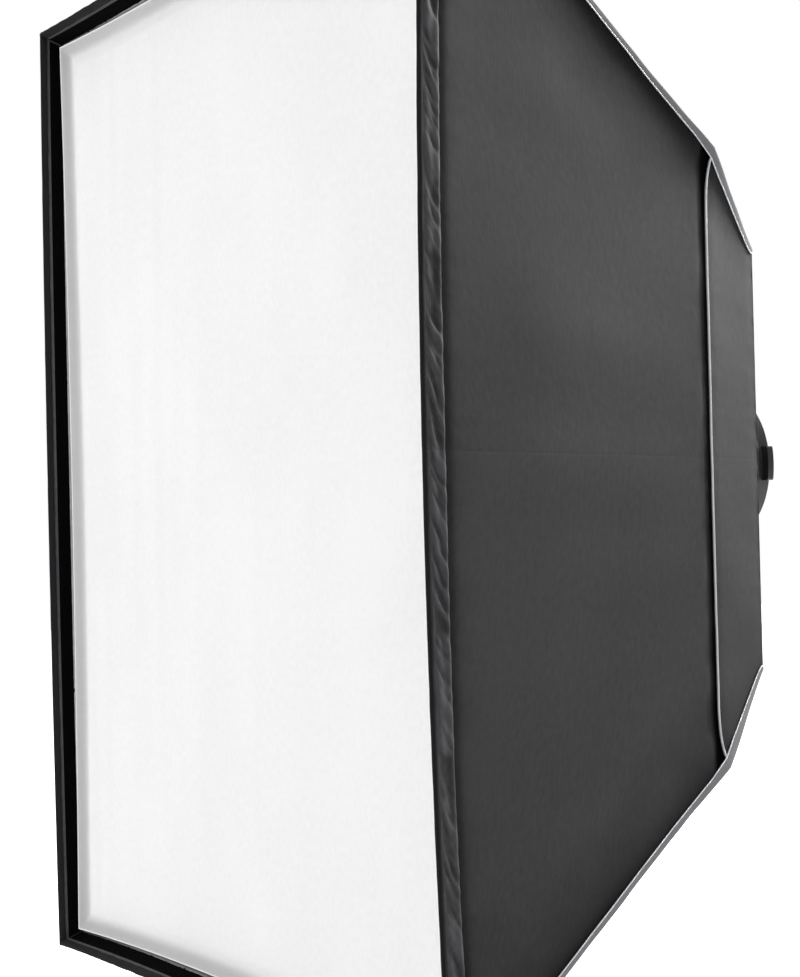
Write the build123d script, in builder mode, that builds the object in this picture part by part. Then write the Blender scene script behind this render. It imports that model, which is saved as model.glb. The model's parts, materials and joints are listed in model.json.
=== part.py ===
from build123d import *
import os
from math import cos, hypot, radians, sin, sqrt

# Square studio softbox on a bayonet speed ring, in millimetres.
# The origin is the centre of the bayonet ring's bore, level with the speed ring's rear face.
# +Y points back to the lamp head, the lit front faces -Y, and +Z is up.

os.makedirs("parts", exist_ok=True)

# Fabric shell: its outer half-width at each station along Y
front_y = -657.0
front_half = 600.0
lip_depth = 27.0
seam_y = -200.0
seam_half = 329.0
rear_y = -90.0
rear_half = 233.0
collar_y = -17.0
collar_half = 99.0
side_bow = 2.0  # how far the side wall bows out of the straight line, front edge to seam
rear_bow = 1.0
cloth = 2.5  # wall thickness of each fabric panel
seam_gap = 0.2
tape_width = 12.0
tape_thickness = 1.0
tape_lift = 1.3
hook_tape = 1.2
hook_gap = 0.2
hook_front = 9.5  # from the lip's front edge to the hook tape
hook_rear = 1.0
piping_radius = 1.8
piping_stand = 2.6

# Diffusers
sheet = 1.2
front_sheet_half = 579.0
inner_sheet_y = -387.0
inner_sheet_half = 372.0
strap_width = 20.0
strap_place = 200.0
strap_gap = 0.6

# Speed ring
barrel_bore = 75.4
barrel_radius = 84.0
barrel_front = -44.0
flange_radius = 95.0
flange_thickness = 14.0
edge_break = 1.2

# Clevis brackets, screwed to the ring's barrel
pivot = (110.0, -46.0)  # hinge line, as distance from the axis and Y
lug_radius = 13.0
lug_root = 79.0
root_rear = -23.0
root_front = -43.0
web_outside = 92.0
lug_thickness = 6.0
lug_gap = 16.3  # from the middle of a clevis to the inner face of each lug
bracket_screw_y = -33.0
bracket_screw_tip = 79.0

# Clamp plates and screws that hold the fabric collar
clamp_radius = 89.4
clamp_width = 10.0
clamp_thickness = 5.0
clamp_sweep = 52.0
screw_spread = 20.0
screw_radius = 2.0
screw_depth = 8.0
screw_tip_gap = 1.0
screw_clearance = 0.15
head_radius = 3.5
head_height = 3.0
hex_depth = 2.0
layer_gap = 0.3

# Bayonet ring
bore_radius = 66.0
sleeve_radius = 75.0
sleeve_front = -50.0
neck_radius = 83.0
neck_rear = 22.0
lug_tip_radius = 95.5
bayonet_lug_width = 40.0
bayonet_lug_rear = 19.0
bayonet_lug_thickness = 7.5
bayonet_lug_round = 3.0
bayonet_lugs = 3
clip_radius = 81.0
clip_groove = 73.0
clip_thickness = 2.2
clip_opening = 12.0

# Thumb screw that locks the bayonet ring, under the flange
knob_angle = 270
knob_radius = 6.5
knob_bottom = 96.0
knob_top = 110.0
knob_flutes = 12
flute_radius = 1.2
flute_out = 0.6
thumb_screw_radius = 3.0
thumb_screw_tip = 75.7
thumb_screw_chamfer = 0.6

# Rod holder, its pin and its release button
hub_radius = 12.0
hub_half = 16.0
pin_radius = 3.0
pin_end = -7.0
pin_head_radius = 5.0
pin_head = 3.0
pin_clearance = 0.1
socket_radius = 7.0
socket_length = 70.0
socket_depth = 22.0
button_radius = 6.5
button_clearance = 0.2
button_inner = 4.0
button_proud = 6.0
button_round = 1.0
cavity_floor = -6.0
spring_radius = 4.0
spring_wire = 0.5
spring_pitch = 1.9

# Rod: straight out of the holder, a tight bend, a long bow, and a straight front run
rod_radius = 3.0
rod_rear_angle = 77.75  # away from -Y, in the plane through the axis and the corner
rod_rear_run = 179.0
rod_bend_radius = 120.0
rod_middle_angle = 53.8
rod_bow_radius = 1130.0
rod_front_angle = 39.68
rod_front_run = 417.5
fit_gap = 0.05
tip_radius = 4.4
tip_cover = 16.0
tip_nose = 5.0
tip_round = 1.0
pocket_radius = 7.5
pocket_bore = 4.8
pocket_length = 48.0
pocket_end = 8.0
pocket_floor = 5.5

sides = {"right": 0, "top": 90, "left": 180, "bottom": 270}
corners = {"top_right": 45, "top_left": 135, "bottom_left": 225, "bottom_right": 315}


def section_plane(angle, shift=0.0):
    # a plane holding the Y axis: its x points outward at this angle, its y is +Y
    outward = Vector(cos(radians(angle)), 0, sin(radians(angle)))
    around = Vector(-sin(radians(angle)), 0, cos(radians(angle)))
    return Plane(origin=around * shift, x_dir=outward, z_dir=around)


def across(y):
    # a plane square to the axis: x is +X, y is +Z, and extruding goes forward, to -Y
    return Plane(origin=(0, y, 0), x_dir=(1, 0, 0), z_dir=(0, -1, 0))


def mitre_plane(angle, turn, inset):
    # the plane through the axis and the corner on one side of a panel, moved into the panel
    corner_out = section_plane(angle).x_dir - section_plane(angle).z_dir * turn
    normal = corner_out.normalized()
    return Plane(origin=normal * inset, z_dir=normal)


def bowed(first, last, bow):
    # the half-width at any Y along an arc from one (half, y) point to another
    (half_a, y_a), (half_b, y_b) = first, last
    chord = hypot(half_b - half_a, y_b - y_a)
    radius = chord**2 / (8 * bow) + bow / 2
    out_x = (y_b - y_a) / chord
    out_y = (half_a - half_b) / chord
    centre_half = (half_a + half_b) / 2 - out_x * (radius - bow)
    centre_y = (y_a + y_b) / 2 - out_y * (radius - bow)

    def half_at(y):
        return centre_half + sqrt(radius**2 - (y - centre_y) ** 2)

    return half_at


side_half = bowed((front_half, front_y), (seam_half, seam_y), side_bow)
rear_side_half = bowed((seam_half, seam_y), (rear_half, rear_y), rear_bow)


def arc_wall(half_at, y_a, y_b, lift, thickness):
    # outline of a thin bowed wall, as (half-width, y) on a section plane
    stations = [y_a, (y_a + y_b) / 2, y_b]
    outer = [(half_at(y) + lift, y) for y in stations]
    inner = [(half_at(y) + lift - thickness, y) for y in stations]
    with BuildLine() as outline:
        ThreePointArc(*outer)
        Line(outer[2], inner[2])
        ThreePointArc(*reversed(inner))
        Line(inner[0], outer[0])
    return outline.edges()


def trapezoid_panel(angle, half_at, y_a, y_b, lift=0.0, thickness=cloth, inset=seam_gap):
    # one panel of the square shell, mitred at both corners
    with BuildPart() as panel:
        with BuildSketch(section_plane(angle)):
            make_face(arc_wall(half_at, y_a, y_b, lift, thickness))
        extrude(amount=front_half + cloth, both=True)
        split(bisect_by=mitre_plane(angle, 1, inset), keep=Keep.TOP)
        split(bisect_by=mitre_plane(angle, -1, inset), keep=Keep.TOP)
    return panel.part


def back_panel(angle):
    # the steep wall that closes the shell down to the collar
    with BuildPart() as panel:
        with BuildSketch(section_plane(angle)):
            wide = rear_half - cloth - seam_gap
            with BuildLine():
                Polyline(
                    (wide, rear_y),
                    (collar_half, collar_y),
                    (collar_half, collar_y - cloth),
                    (wide, rear_y - cloth),
                    close=True,
                )
            make_face()
        extrude(amount=rear_half, both=True)
        split(bisect_by=mitre_plane(angle, 1, seam_gap), keep=Keep.TOP)
        split(bisect_by=mitre_plane(angle, -1, seam_gap), keep=Keep.TOP)
    return panel.part


def corner_tape(angle):
    # an L-shaped tape folded over the corner seam, from the lip to the rear edge
    side_angle = angle - 45
    with BuildPart() as tape:
        with BuildSketch(section_plane(side_angle)):
            make_face(arc_wall(side_half, front_y, seam_y, tape_lift, tape_thickness))
            make_face(arc_wall(rear_side_half, seam_y, rear_y, tape_lift, tape_thickness))
        extrude(amount=front_half + tape_width, both=True)
        split(bisect_by=mitre_plane(side_angle, 1, 0), keep=Keep.TOP)
        split(bisect_by=mitre_plane(side_angle, 1, tape_width / sqrt(2)), keep=Keep.BOTTOM)
        mirror(about=section_plane(angle))
    return tape.part


def clamp_points():
    # where the eight clamp screws stand, as seen square to the axis
    for side_angle in sides.values():
        for step in (-screw_spread, screw_spread):
            turn = radians(side_angle + step)
            yield (clamp_radius * cos(turn), clamp_radius * sin(turn))


def make_speed_ring():
    with BuildPart() as ring:
        with BuildSketch(across(0)):
            Circle(flange_radius)
        extrude(amount=flange_thickness)
        chamfer(ring.edges().filter_by(GeomType.CIRCLE), edge_break)
        with BuildSketch(across(-flange_thickness)):
            Circle(barrel_radius)
        extrude(amount=-barrel_front - flange_thickness)
        with BuildSketch(across(0)):
            Circle(barrel_bore)
        extrude(amount=-barrel_front, mode=Mode.SUBTRACT)
        with BuildSketch(across(-flange_thickness + screw_depth)):
            with Locations(*clamp_points()):
                Circle(screw_radius + fit_gap)
        extrude(amount=screw_depth, mode=Mode.SUBTRACT)
        for angle in corners.values():
            with BuildSketch(bracket_screw_plane(angle, bracket_screw_tip - screw_tip_gap)):
                Circle(screw_radius + fit_gap)
            extrude(amount=barrel_radius, mode=Mode.SUBTRACT)
        with BuildSketch(knob_plane(0)):
            Circle(thumb_screw_radius + pin_clearance)
        extrude(amount=knob_top, mode=Mode.SUBTRACT)
    return ring.part


def bracket_screw_plane(angle, distance):
    # square to a bracket screw's axis, which runs radially into the barrel, this far from the ring's axis
    outward = section_plane(angle).x_dir
    centre = outward * distance + Vector(0, bracket_screw_y, 0)
    return Plane(origin=centre, x_dir=(0, 1, 0), z_dir=outward)


def make_clevis_brackets():
    # four U-shaped brackets: a web that lies on the barrel, and two lugs that hold a rod's hub
    outside = lug_gap + lug_thickness
    with BuildPart() as brackets:
        for angle in corners.values():
            for shift in (-outside, lug_gap):
                with BuildSketch(section_plane(angle, shift)):
                    with BuildLine():
                        CenterArc(pivot, lug_radius, 0, 360)
                        Line((lug_root, root_front), (lug_root, root_rear))
                    make_hull()
                extrude(amount=lug_thickness)
            with BuildSketch(section_plane(angle, -outside)):
                with BuildLine():
                    Polyline(
                        (lug_root, root_front),
                        (web_outside, root_front),
                        (web_outside, root_rear - lug_thickness),
                        (lug_root, root_rear),
                        close=True,
                    )
                make_face()
            extrude(amount=2 * outside)
            with BuildSketch(section_plane(angle, -outside - lug_thickness)):
                with Locations(pivot):
                    Circle(pin_radius + pin_clearance / 2)
            extrude(amount=3 * lug_thickness, mode=Mode.SUBTRACT)
            with BuildSketch(section_plane(angle, lug_gap - lug_thickness)):
                with Locations(pivot):
                    Circle(button_radius + button_clearance)
            extrude(amount=3 * lug_thickness, mode=Mode.SUBTRACT)
            with BuildSketch(bracket_screw_plane(angle, lug_root)):
                Circle(screw_radius + screw_clearance)
            extrude(amount=web_outside - lug_root, mode=Mode.SUBTRACT)
        with BuildSketch(across(0)):
            Circle(barrel_radius + fit_gap)
        extrude(amount=-sleeve_front, mode=Mode.SUBTRACT)
    return brackets.part


def make_bracket_screws():
    with BuildPart() as screws:
        for angle in corners.values():
            with BuildSketch(bracket_screw_plane(angle, bracket_screw_tip)):
                Circle(screw_radius)
            extrude(amount=web_outside - bracket_screw_tip)
            with BuildSketch(bracket_screw_plane(angle, web_outside)):
                Circle(head_radius)
            extrude(amount=head_height)
            with BuildSketch(bracket_screw_plane(angle, web_outside + head_height - hex_depth)):
                RegularPolygon(screw_radius, 6)
            extrude(amount=hex_depth, mode=Mode.SUBTRACT)
    return screws.part


def knob_plane(distance):
    # square to the thumb screw's axis, which runs radially through the flange
    outward = section_plane(knob_angle).x_dir
    centre = outward * distance - Vector(0, flange_thickness / 2, 0)
    return Plane(origin=centre, x_dir=(0, 1, 0), z_dir=outward)


def make_back_collar():
    # flat fabric collar with a round hole, clamped in front of the flange
    with BuildPart() as collar:
        with BuildSketch(across(-flange_thickness - layer_gap)):
            Rectangle(2 * collar_half, 2 * collar_half)
            Circle(barrel_radius + layer_gap, mode=Mode.SUBTRACT)
            with Locations(*clamp_points()):
                Circle(screw_radius + layer_gap, mode=Mode.SUBTRACT)
        extrude(amount=-collar_y - flange_thickness - layer_gap)
    return collar.part


def make_clamp_plates():
    with BuildPart() as plates:
        with BuildSketch(across(collar_y - layer_gap)):
            for side_angle in sides.values():
                centre_line = CenterArc((0, 0), clamp_radius, side_angle - clamp_sweep / 2, clamp_sweep)
                SlotArc(centre_line, clamp_width)
            with Locations(*clamp_points()):
                Circle(screw_radius + screw_clearance, mode=Mode.SUBTRACT)
        extrude(amount=clamp_thickness)
    return plates.part


def make_clamp_screws():
    head_y = collar_y - layer_gap - clamp_thickness
    tip_y = -flange_thickness + screw_depth - screw_tip_gap
    with BuildPart() as screws:
        with BuildSketch(across(tip_y)):
            with Locations(*clamp_points()):
                Circle(screw_radius)
        extrude(amount=tip_y - head_y)
        with BuildSketch(across(head_y)):
            with Locations(*clamp_points()):
                Circle(head_radius)
        extrude(amount=head_height)
        with BuildSketch(across(head_y - head_height + hex_depth)):
            with Locations(*clamp_points()):
                RegularPolygon(screw_radius, 6)
        extrude(amount=hex_depth, mode=Mode.SUBTRACT)
    return screws.part


def make_hinge_pins():
    with BuildPart() as pins:
        for angle in corners.values():
            head_face = -lug_gap - lug_thickness - pin_head
            with BuildSketch(section_plane(angle, head_face)):
                with Locations(pivot):
                    Circle(pin_head_radius)
            extrude(amount=pin_head)
            with BuildSketch(section_plane(angle, head_face)):
                with Locations(pivot):
                    Circle(pin_radius)
            extrude(amount=pin_end - head_face)
    return pins.part


def make_bayonet_ring():
    with BuildPart() as ring:
        with BuildSketch(across(neck_rear)):
            Circle(neck_radius)
        extrude(amount=neck_rear - layer_gap)
        chamfer(ring.edges().filter_by(GeomType.CIRCLE).sort_by(Axis.Y)[-1], edge_break)
        with BuildSketch(across(layer_gap)):
            Circle(sleeve_radius)
        extrude(amount=layer_gap - sleeve_front)
        with BuildSketch(across(bayonet_lug_rear)) as lugs:
            with PolarLocations(0, bayonet_lugs):
                Rectangle(2 * lug_tip_radius, bayonet_lug_width, align=(Align.MIN, Align.CENTER))
            Circle(lug_tip_radius, mode=Mode.INTERSECT)
            fillet(lugs.vertices().sort_by_distance((0, 0))[-2 * bayonet_lugs :], bayonet_lug_round)
            Circle(sleeve_radius, mode=Mode.SUBTRACT)
        extrude(amount=bayonet_lug_thickness)
        with BuildSketch(across(neck_rear)):
            Circle(bore_radius)
        extrude(amount=neck_rear - sleeve_front, mode=Mode.SUBTRACT)
        with BuildSketch(across(barrel_front - layer_gap)):
            Circle(sleeve_radius + layer_gap)
            Circle(clip_groove, mode=Mode.SUBTRACT)
        extrude(amount=clip_thickness + 2 * fit_gap, mode=Mode.SUBTRACT)
    return ring.part


def make_circlip():
    # spring ring, open at the top, that keeps the bayonet ring in the barrel
    with BuildPart() as clip:
        with BuildSketch(across(barrel_front - layer_gap - fit_gap)):
            Circle(clip_radius)
            Circle(clip_groove + fit_gap, mode=Mode.SUBTRACT)
            with Locations((0, clip_radius)):
                Rectangle(clip_opening, clip_radius / 2, mode=Mode.SUBTRACT)
        extrude(amount=clip_thickness)
    return clip.part


def make_thumb_screw():
    with BuildPart() as screw:
        with BuildSketch(knob_plane(thumb_screw_tip)):
            Circle(thumb_screw_radius)
        extrude(amount=knob_bottom - thumb_screw_tip)
        chamfer(screw.edges().filter_by(GeomType.CIRCLE).sort_by(Axis.Z)[-1], thumb_screw_chamfer)
    return screw.part


def make_lock_knob():
    with BuildPart() as knob:
        with BuildSketch(knob_plane(knob_bottom)):
            Circle(knob_radius)
            with PolarLocations(knob_radius + flute_out, knob_flutes):
                Circle(flute_radius, mode=Mode.SUBTRACT)
        extrude(amount=knob_top - knob_bottom)
    return knob.part


def make_seam_piping():
    # one straight cord in each side's seam, ending short of the corner tapes
    with BuildPart() as piping:
        for angle in sides.values():
            with BuildSketch(section_plane(angle)):
                with Locations((seam_half + piping_stand, seam_y)):
                    Circle(piping_radius)
            extrude(amount=seam_half - tape_width - piping_radius, both=True)
    return piping.part


def make_grid_tape():
    # hook tape round the inside of the lip, where a fabric grid is pressed on
    lift = -cloth - hook_gap
    with BuildPart() as tape:
        for angle in sides.values():
            add(
                trapezoid_panel(
                    angle,
                    side_half,
                    front_y + hook_front,
                    front_y + lip_depth - hook_rear,
                    lift,
                    hook_tape,
                    inset=hook_tape,
                )
            )
    return tape.part


def make_square_sheet(half, y):
    with BuildPart() as plate:
        with BuildSketch(across(y)):
            Rectangle(2 * half, 2 * half)
        extrude(amount=sheet)
    return plate.part


def make_diffuser_straps():
    # eight elastic straps from the inner diffuser's edge to the side panels
    start = inner_sheet_half + seam_gap
    end = side_half(inner_sheet_y) - cloth - strap_gap
    with BuildPart() as straps:
        with BuildSketch(across(inner_sheet_y)):
            with PolarLocations(0, len(sides)):
                with Locations(((start + end) / 2, strap_place), ((start + end) / 2, -strap_place)):
                    Rectangle(end - start, strap_width)
        extrude(amount=sheet)
    return straps.part


def rod_start(angle, distance):
    # a plane square to the rear run of a rod, this far from its hinge line
    plane = section_plane(angle)
    turn = radians(rod_rear_angle)
    direction = plane.x_dir * sin(turn) - Vector(0, cos(turn), 0)
    hinge_point = plane.x_dir * pivot[0] + Vector(0, pivot[1], 0)
    return Plane(origin=hinge_point + direction * distance, z_dir=direction)


def make_rod_holder(angle):
    # a hub between the clevis lugs, with a socket for the rod
    with BuildPart() as holder:
        with BuildSketch(section_plane(angle, -hub_half)):
            with Locations(pivot):
                Circle(hub_radius)
        extrude(amount=2 * hub_half)
        with BuildSketch(rod_start(angle, 0)):
            Circle(socket_radius)
        extrude(amount=socket_length)
        with BuildSketch(section_plane(angle, -hub_half)):
            with Locations(pivot):
                Circle(pin_radius + pin_clearance)
        extrude(amount=hub_half + pin_end, mode=Mode.SUBTRACT)
        with BuildSketch(section_plane(angle, cavity_floor)):
            with Locations(pivot):
                Circle(button_radius + button_clearance)
        extrude(amount=hub_half - cavity_floor, mode=Mode.SUBTRACT)
        with BuildSketch(rod_start(angle, socket_depth)):
            Circle(rod_radius + fit_gap)
        extrude(amount=socket_length - socket_depth, mode=Mode.SUBTRACT)
    return holder.part


def rod_path(angle):
    # the centre line of a rod, from the floor of its socket to its front end
    start = rod_start(angle, socket_depth)
    bend_start = rod_start(angle, rod_rear_run)
    with BuildLine(section_plane(angle)) as path:
        rear_run = Line(start.origin, bend_start.origin)
        bend = JernArc(rear_run @ 1, rear_run % 1, rod_bend_radius, rod_middle_angle - rod_rear_angle)
        bow = JernArc(bend @ 1, bend % 1, rod_bow_radius, rod_front_angle - rod_middle_angle)
        Line(bow @ 1, bow @ 1 + (bow % 1) * rod_front_run)
    return path.line


def make_rod(path):
    with BuildPart() as rod:
        with BuildSketch(Plane(origin=path @ 0, z_dir=path % 0)):
            Circle(rod_radius)
        sweep(path=path)
    return rod.part


def make_rod_tip(path):
    # a moulded cap over the rod's front end
    with BuildPart() as tip:
        with BuildSketch(Plane(origin=(path @ 1) - (path % 1) * tip_cover, z_dir=path % 1)):
            Circle(tip_radius)
        extrude(amount=tip_cover + tip_nose)
        fillet(tip.faces().sort_by(SortBy.DISTANCE)[-1].edges(), tip_round)
        with BuildSketch(Plane(origin=(path @ 1) - (path % 1) * tip_cover, z_dir=path % 1)):
            Circle(rod_radius + fit_gap)
        extrude(amount=tip_cover, mode=Mode.SUBTRACT)
    return tip.part


def make_corner_pocket(path):
    # the sewn sleeve that the rod's capped end stands in
    mouth = Plane(origin=(path @ 1) - (path % 1) * pocket_length, z_dir=path % 1)
    with BuildPart() as pocket:
        with BuildSketch(mouth):
            Circle(pocket_radius)
        extrude(amount=pocket_length + pocket_end)
        with BuildSketch(mouth):
            Circle(pocket_bore)
        extrude(amount=pocket_length + pocket_floor, mode=Mode.SUBTRACT)
    return pocket.part


def make_release_button(angle):
    outer_face = lug_gap + lug_thickness + button_proud
    with BuildPart() as button:
        with BuildSketch(section_plane(angle, button_inner)):
            with Locations(pivot):
                Circle(button_radius)
        extrude(amount=outer_face - button_inner)
        outer_edges = button.edges().filter_by(GeomType.CIRCLE)
        fillet(outer_edges.sort_by_distance(section_plane(angle, outer_face).origin)[0], button_round)
    return button.part


def make_button_spring(angle):
    # a coil spring between the floor of the hub's cavity and the button
    plane = section_plane(angle)
    low = cavity_floor + spring_wire + seam_gap / 2
    high = button_inner - spring_wire - seam_gap / 2
    centre = plane.x_dir * pivot[0] + Vector(0, pivot[1], 0) + plane.z_dir * low
    with BuildPart() as spring:
        with BuildLine() as coil:
            Helix(spring_pitch, high - low, spring_radius, center=centre, direction=plane.z_dir)
        with BuildSketch(Plane(origin=coil.line @ 0, z_dir=coil.line % 0)):
            Circle(spring_wire)
        sweep(path=coil.line, is_frenet=True)
    return spring.part


def write(part, name):
    part.label = name
    export_step(part, f"parts/{name}.step")


lip_end = front_y + lip_depth
for side, side_angle in sides.items():
    write(trapezoid_panel(side_angle, side_half, front_y, lip_end), f"front_lip_{side}")
    write(trapezoid_panel(side_angle, side_half, lip_end, seam_y), f"side_panel_{side}")
    write(trapezoid_panel(side_angle, rear_side_half, seam_y, rear_y), f"rear_panel_{side}")
    write(back_panel(side_angle), f"back_panel_{side}")

for corner, corner_angle in corners.items():
    write(corner_tape(corner_angle), f"corner_tape_{corner}")
    centre_line = rod_path(corner_angle)
    write(make_rod_holder(corner_angle), f"rod_holder_{corner}")
    write(make_rod(centre_line), f"rod_{corner}")
    write(make_rod_tip(centre_line), f"rod_tip_{corner}")
    write(make_corner_pocket(centre_line), f"corner_pocket_{corner}")
    write(make_release_button(corner_angle), f"release_button_{corner}")
    write(make_button_spring(corner_angle), f"button_spring_{corner}")

write(make_seam_piping(), "seam_piping")
write(make_grid_tape(), "grid_tape")
write(make_square_sheet(front_sheet_half, lip_end + sheet + seam_gap), "front_diffuser")
write(make_square_sheet(inner_sheet_half, inner_sheet_y), "inner_diffuser")
write(make_diffuser_straps(), "diffuser_straps")
write(make_back_collar(), "back_collar")
write(make_speed_ring(), "speed_ring")
write(make_clevis_brackets(), "clevis_brackets")
write(make_bracket_screws(), "bracket_screws")
write(make_clamp_plates(), "clamp_plates")
write(make_clamp_screws(), "clamp_screws")
write(make_hinge_pins(), "hinge_pins")
write(make_bayonet_ring(), "bayonet_ring")
write(make_circlip(), "circlip")
write(make_thumb_screw(), "thumb_screw")
write(make_lock_knob(), "lock_knob")
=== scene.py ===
import bpy
import json
import numpy as np
from math import cos, hypot, pi, radians, sin
from mathutils import Matrix, Vector, noise

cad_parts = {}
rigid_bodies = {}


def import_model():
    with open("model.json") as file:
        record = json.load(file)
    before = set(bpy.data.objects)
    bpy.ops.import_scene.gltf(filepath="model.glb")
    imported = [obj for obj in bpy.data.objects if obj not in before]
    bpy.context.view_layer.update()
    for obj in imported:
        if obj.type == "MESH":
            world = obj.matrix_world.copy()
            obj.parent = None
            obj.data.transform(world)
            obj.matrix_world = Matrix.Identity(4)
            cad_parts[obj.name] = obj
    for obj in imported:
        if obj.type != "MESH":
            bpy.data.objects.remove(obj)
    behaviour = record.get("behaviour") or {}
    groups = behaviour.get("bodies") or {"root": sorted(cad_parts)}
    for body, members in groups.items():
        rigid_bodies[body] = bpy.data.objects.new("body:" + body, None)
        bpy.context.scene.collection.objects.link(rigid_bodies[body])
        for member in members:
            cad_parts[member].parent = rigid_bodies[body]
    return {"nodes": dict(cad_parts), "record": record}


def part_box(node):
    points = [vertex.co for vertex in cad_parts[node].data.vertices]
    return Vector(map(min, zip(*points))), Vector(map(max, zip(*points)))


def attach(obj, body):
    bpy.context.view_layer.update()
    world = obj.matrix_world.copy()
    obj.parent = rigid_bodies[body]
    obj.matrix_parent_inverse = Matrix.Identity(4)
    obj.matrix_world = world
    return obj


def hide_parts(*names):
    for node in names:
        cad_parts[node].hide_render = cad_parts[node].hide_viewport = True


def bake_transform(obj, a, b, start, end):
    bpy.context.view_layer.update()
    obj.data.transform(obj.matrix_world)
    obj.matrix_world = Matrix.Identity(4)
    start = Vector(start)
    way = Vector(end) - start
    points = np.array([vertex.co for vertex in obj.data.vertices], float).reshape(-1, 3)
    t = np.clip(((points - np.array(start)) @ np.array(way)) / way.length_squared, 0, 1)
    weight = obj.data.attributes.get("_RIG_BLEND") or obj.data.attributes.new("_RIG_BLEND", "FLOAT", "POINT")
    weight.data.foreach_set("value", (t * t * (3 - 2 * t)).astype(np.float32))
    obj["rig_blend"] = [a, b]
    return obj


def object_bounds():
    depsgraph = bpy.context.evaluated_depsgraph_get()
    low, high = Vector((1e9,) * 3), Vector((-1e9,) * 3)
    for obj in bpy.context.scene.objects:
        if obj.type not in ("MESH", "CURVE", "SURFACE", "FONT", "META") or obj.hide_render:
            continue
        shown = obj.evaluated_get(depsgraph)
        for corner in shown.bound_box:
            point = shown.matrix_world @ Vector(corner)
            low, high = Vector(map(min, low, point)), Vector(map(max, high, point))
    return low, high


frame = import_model()
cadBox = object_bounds()
mm = 0.001
print("stage: frame loaded,", len(frame["nodes"]), "nodes")

# the shell's stations along Y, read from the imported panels
clothWall = 2.5 * mm
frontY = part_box("front_lip_right")[0].y
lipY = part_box("front_lip_right")[1].y
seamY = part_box("side_panel_right")[1].y
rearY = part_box("rear_panel_right")[1].y
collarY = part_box("back_collar")[0].y
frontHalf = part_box("front_lip_right")[1].x
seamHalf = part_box("rear_panel_right")[1].x
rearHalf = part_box("rear_panel_right")[0].x + clothWall
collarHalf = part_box("back_collar")[1].x
stationY = [frontY, seamY, rearY, collarY]
stationHalf = [frontHalf, seamHalf, rearHalf, collarHalf]

# each corner's turn about Y; its first side faces this way and its second is a quarter turn further
cornerTurn = {"top_right": 0, "top_left": 90, "bottom_left": 180, "bottom_right": 270}

shell = {
    "midPull": [11.6, 12.5, 0.0, 0.0],  # mm that the middle of a side is drawn in, at each station
    "pullPower": [2.0, 15.0, 6.0, 2.0],  # 2 is an even curve, more keeps it to the ends of the side
    "frontBulge": 6.0,  # mm that the middle of the front edge stands forward
    "bulgeDepth": 200.0,  # mm behind the front edge where that has died out
    "seamBack": 6.0,  # mm that the seam runs back to meet the corner tape
    "seamSpread": 60.0,  # mm of panel on each side that goes with it
    "seamPower": 20,  # keeps that near the corner
    "innerPower": 0.8,  # below 1, so that the inner sheet clears the folding cloth
    "frontPower": 0.6,  # and the front sheet
    "lap": 8.0,  # mm that neighbouring cloths lap at the middle of a side
    "lapDip": 0.08,  # mm of dip for each mm of lap
}


def halfAt(y):
    return np.interp(y, stationY, stationHalf)


def smooth(t):
    t = np.clip(t, 0, 1)
    return t * t * (3 - 2 * t)


def ripple(across, along, seed):
    # soft noise from -1 to 1, read at two coordinates given in wavelengths
    gain = 1.6  # the noise alone stays within about 0.6
    shape = np.broadcast_shapes(np.shape(across), np.shape(along), np.shape(seed))
    flat = np.stack([np.broadcast_to(part, shape) for part in (across, along, seed)], -1).reshape(-1, 3)
    values = [noise.noise(Vector(spot)) for spot in flat]
    return np.array(values).reshape(shape) * gain


def sideSpot(share, y, corner):
    # distance along its own side from the side's middle, and the side's number, which seeds its noise,
    # so that two corners' cloths agree where they meet
    seedStep = 11.7
    first = cornerTurn[corner] // 90
    reach = (1 - np.abs(share)) * halfAt(y)
    along = np.where(share <= 0, reach, -reach)
    side = np.where(share <= 0, first, (first + 1) % 4)
    return along, seedStep * (side + 1)


def shellPoint(share, y, lift):
    # share runs from -1, the first side's middle, through 0, the corner, to 1, the second side's middle
    half = halfAt(y)
    u = 1 - np.abs(share)
    within = np.maximum(u, 0)
    power = np.interp(y, stationY, shell["pullPower"])
    bow = 1 - np.power(within, power)
    pull = np.interp(y, stationY, shell["midPull"]) * mm * bow
    lapped = np.maximum(-u, 0) * half  # past the middle the cloth dips under its neighbour
    out = half - pull + lift - lapped * shell["lapDip"]
    fade = 1 - smooth((y - frontY) / (shell["bulgeDepth"] * mm))
    nearSeam = np.exp(-(((y - seamY) / (shell["seamSpread"] * mm)) ** 2))
    bulge = shell["frontBulge"] * mm * bow * fade
    setBack = shell["seamBack"] * mm * nearSeam * np.power(within, shell["seamPower"])
    p = np.where(share <= 0, out, u * half)
    q = np.where(share <= 0, u * half, out)
    return np.stack([p, q, y - (bulge - setBack)], -1)


def columnShares(count):
    # even shares from one side's middle round the corner to the next side's middle
    return np.linspace(-1, 1, 2 * count + 1)


def turned(points, corner):
    # from the corner's own (first out, second out, y) to x, y, z
    a = radians(cornerTurn[corner])
    p, q, y = points[..., 0], points[..., 1], points[..., 2]
    return np.stack([p * cos(a) - q * sin(a), y, p * sin(a) + q * cos(a)], -1)


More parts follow.
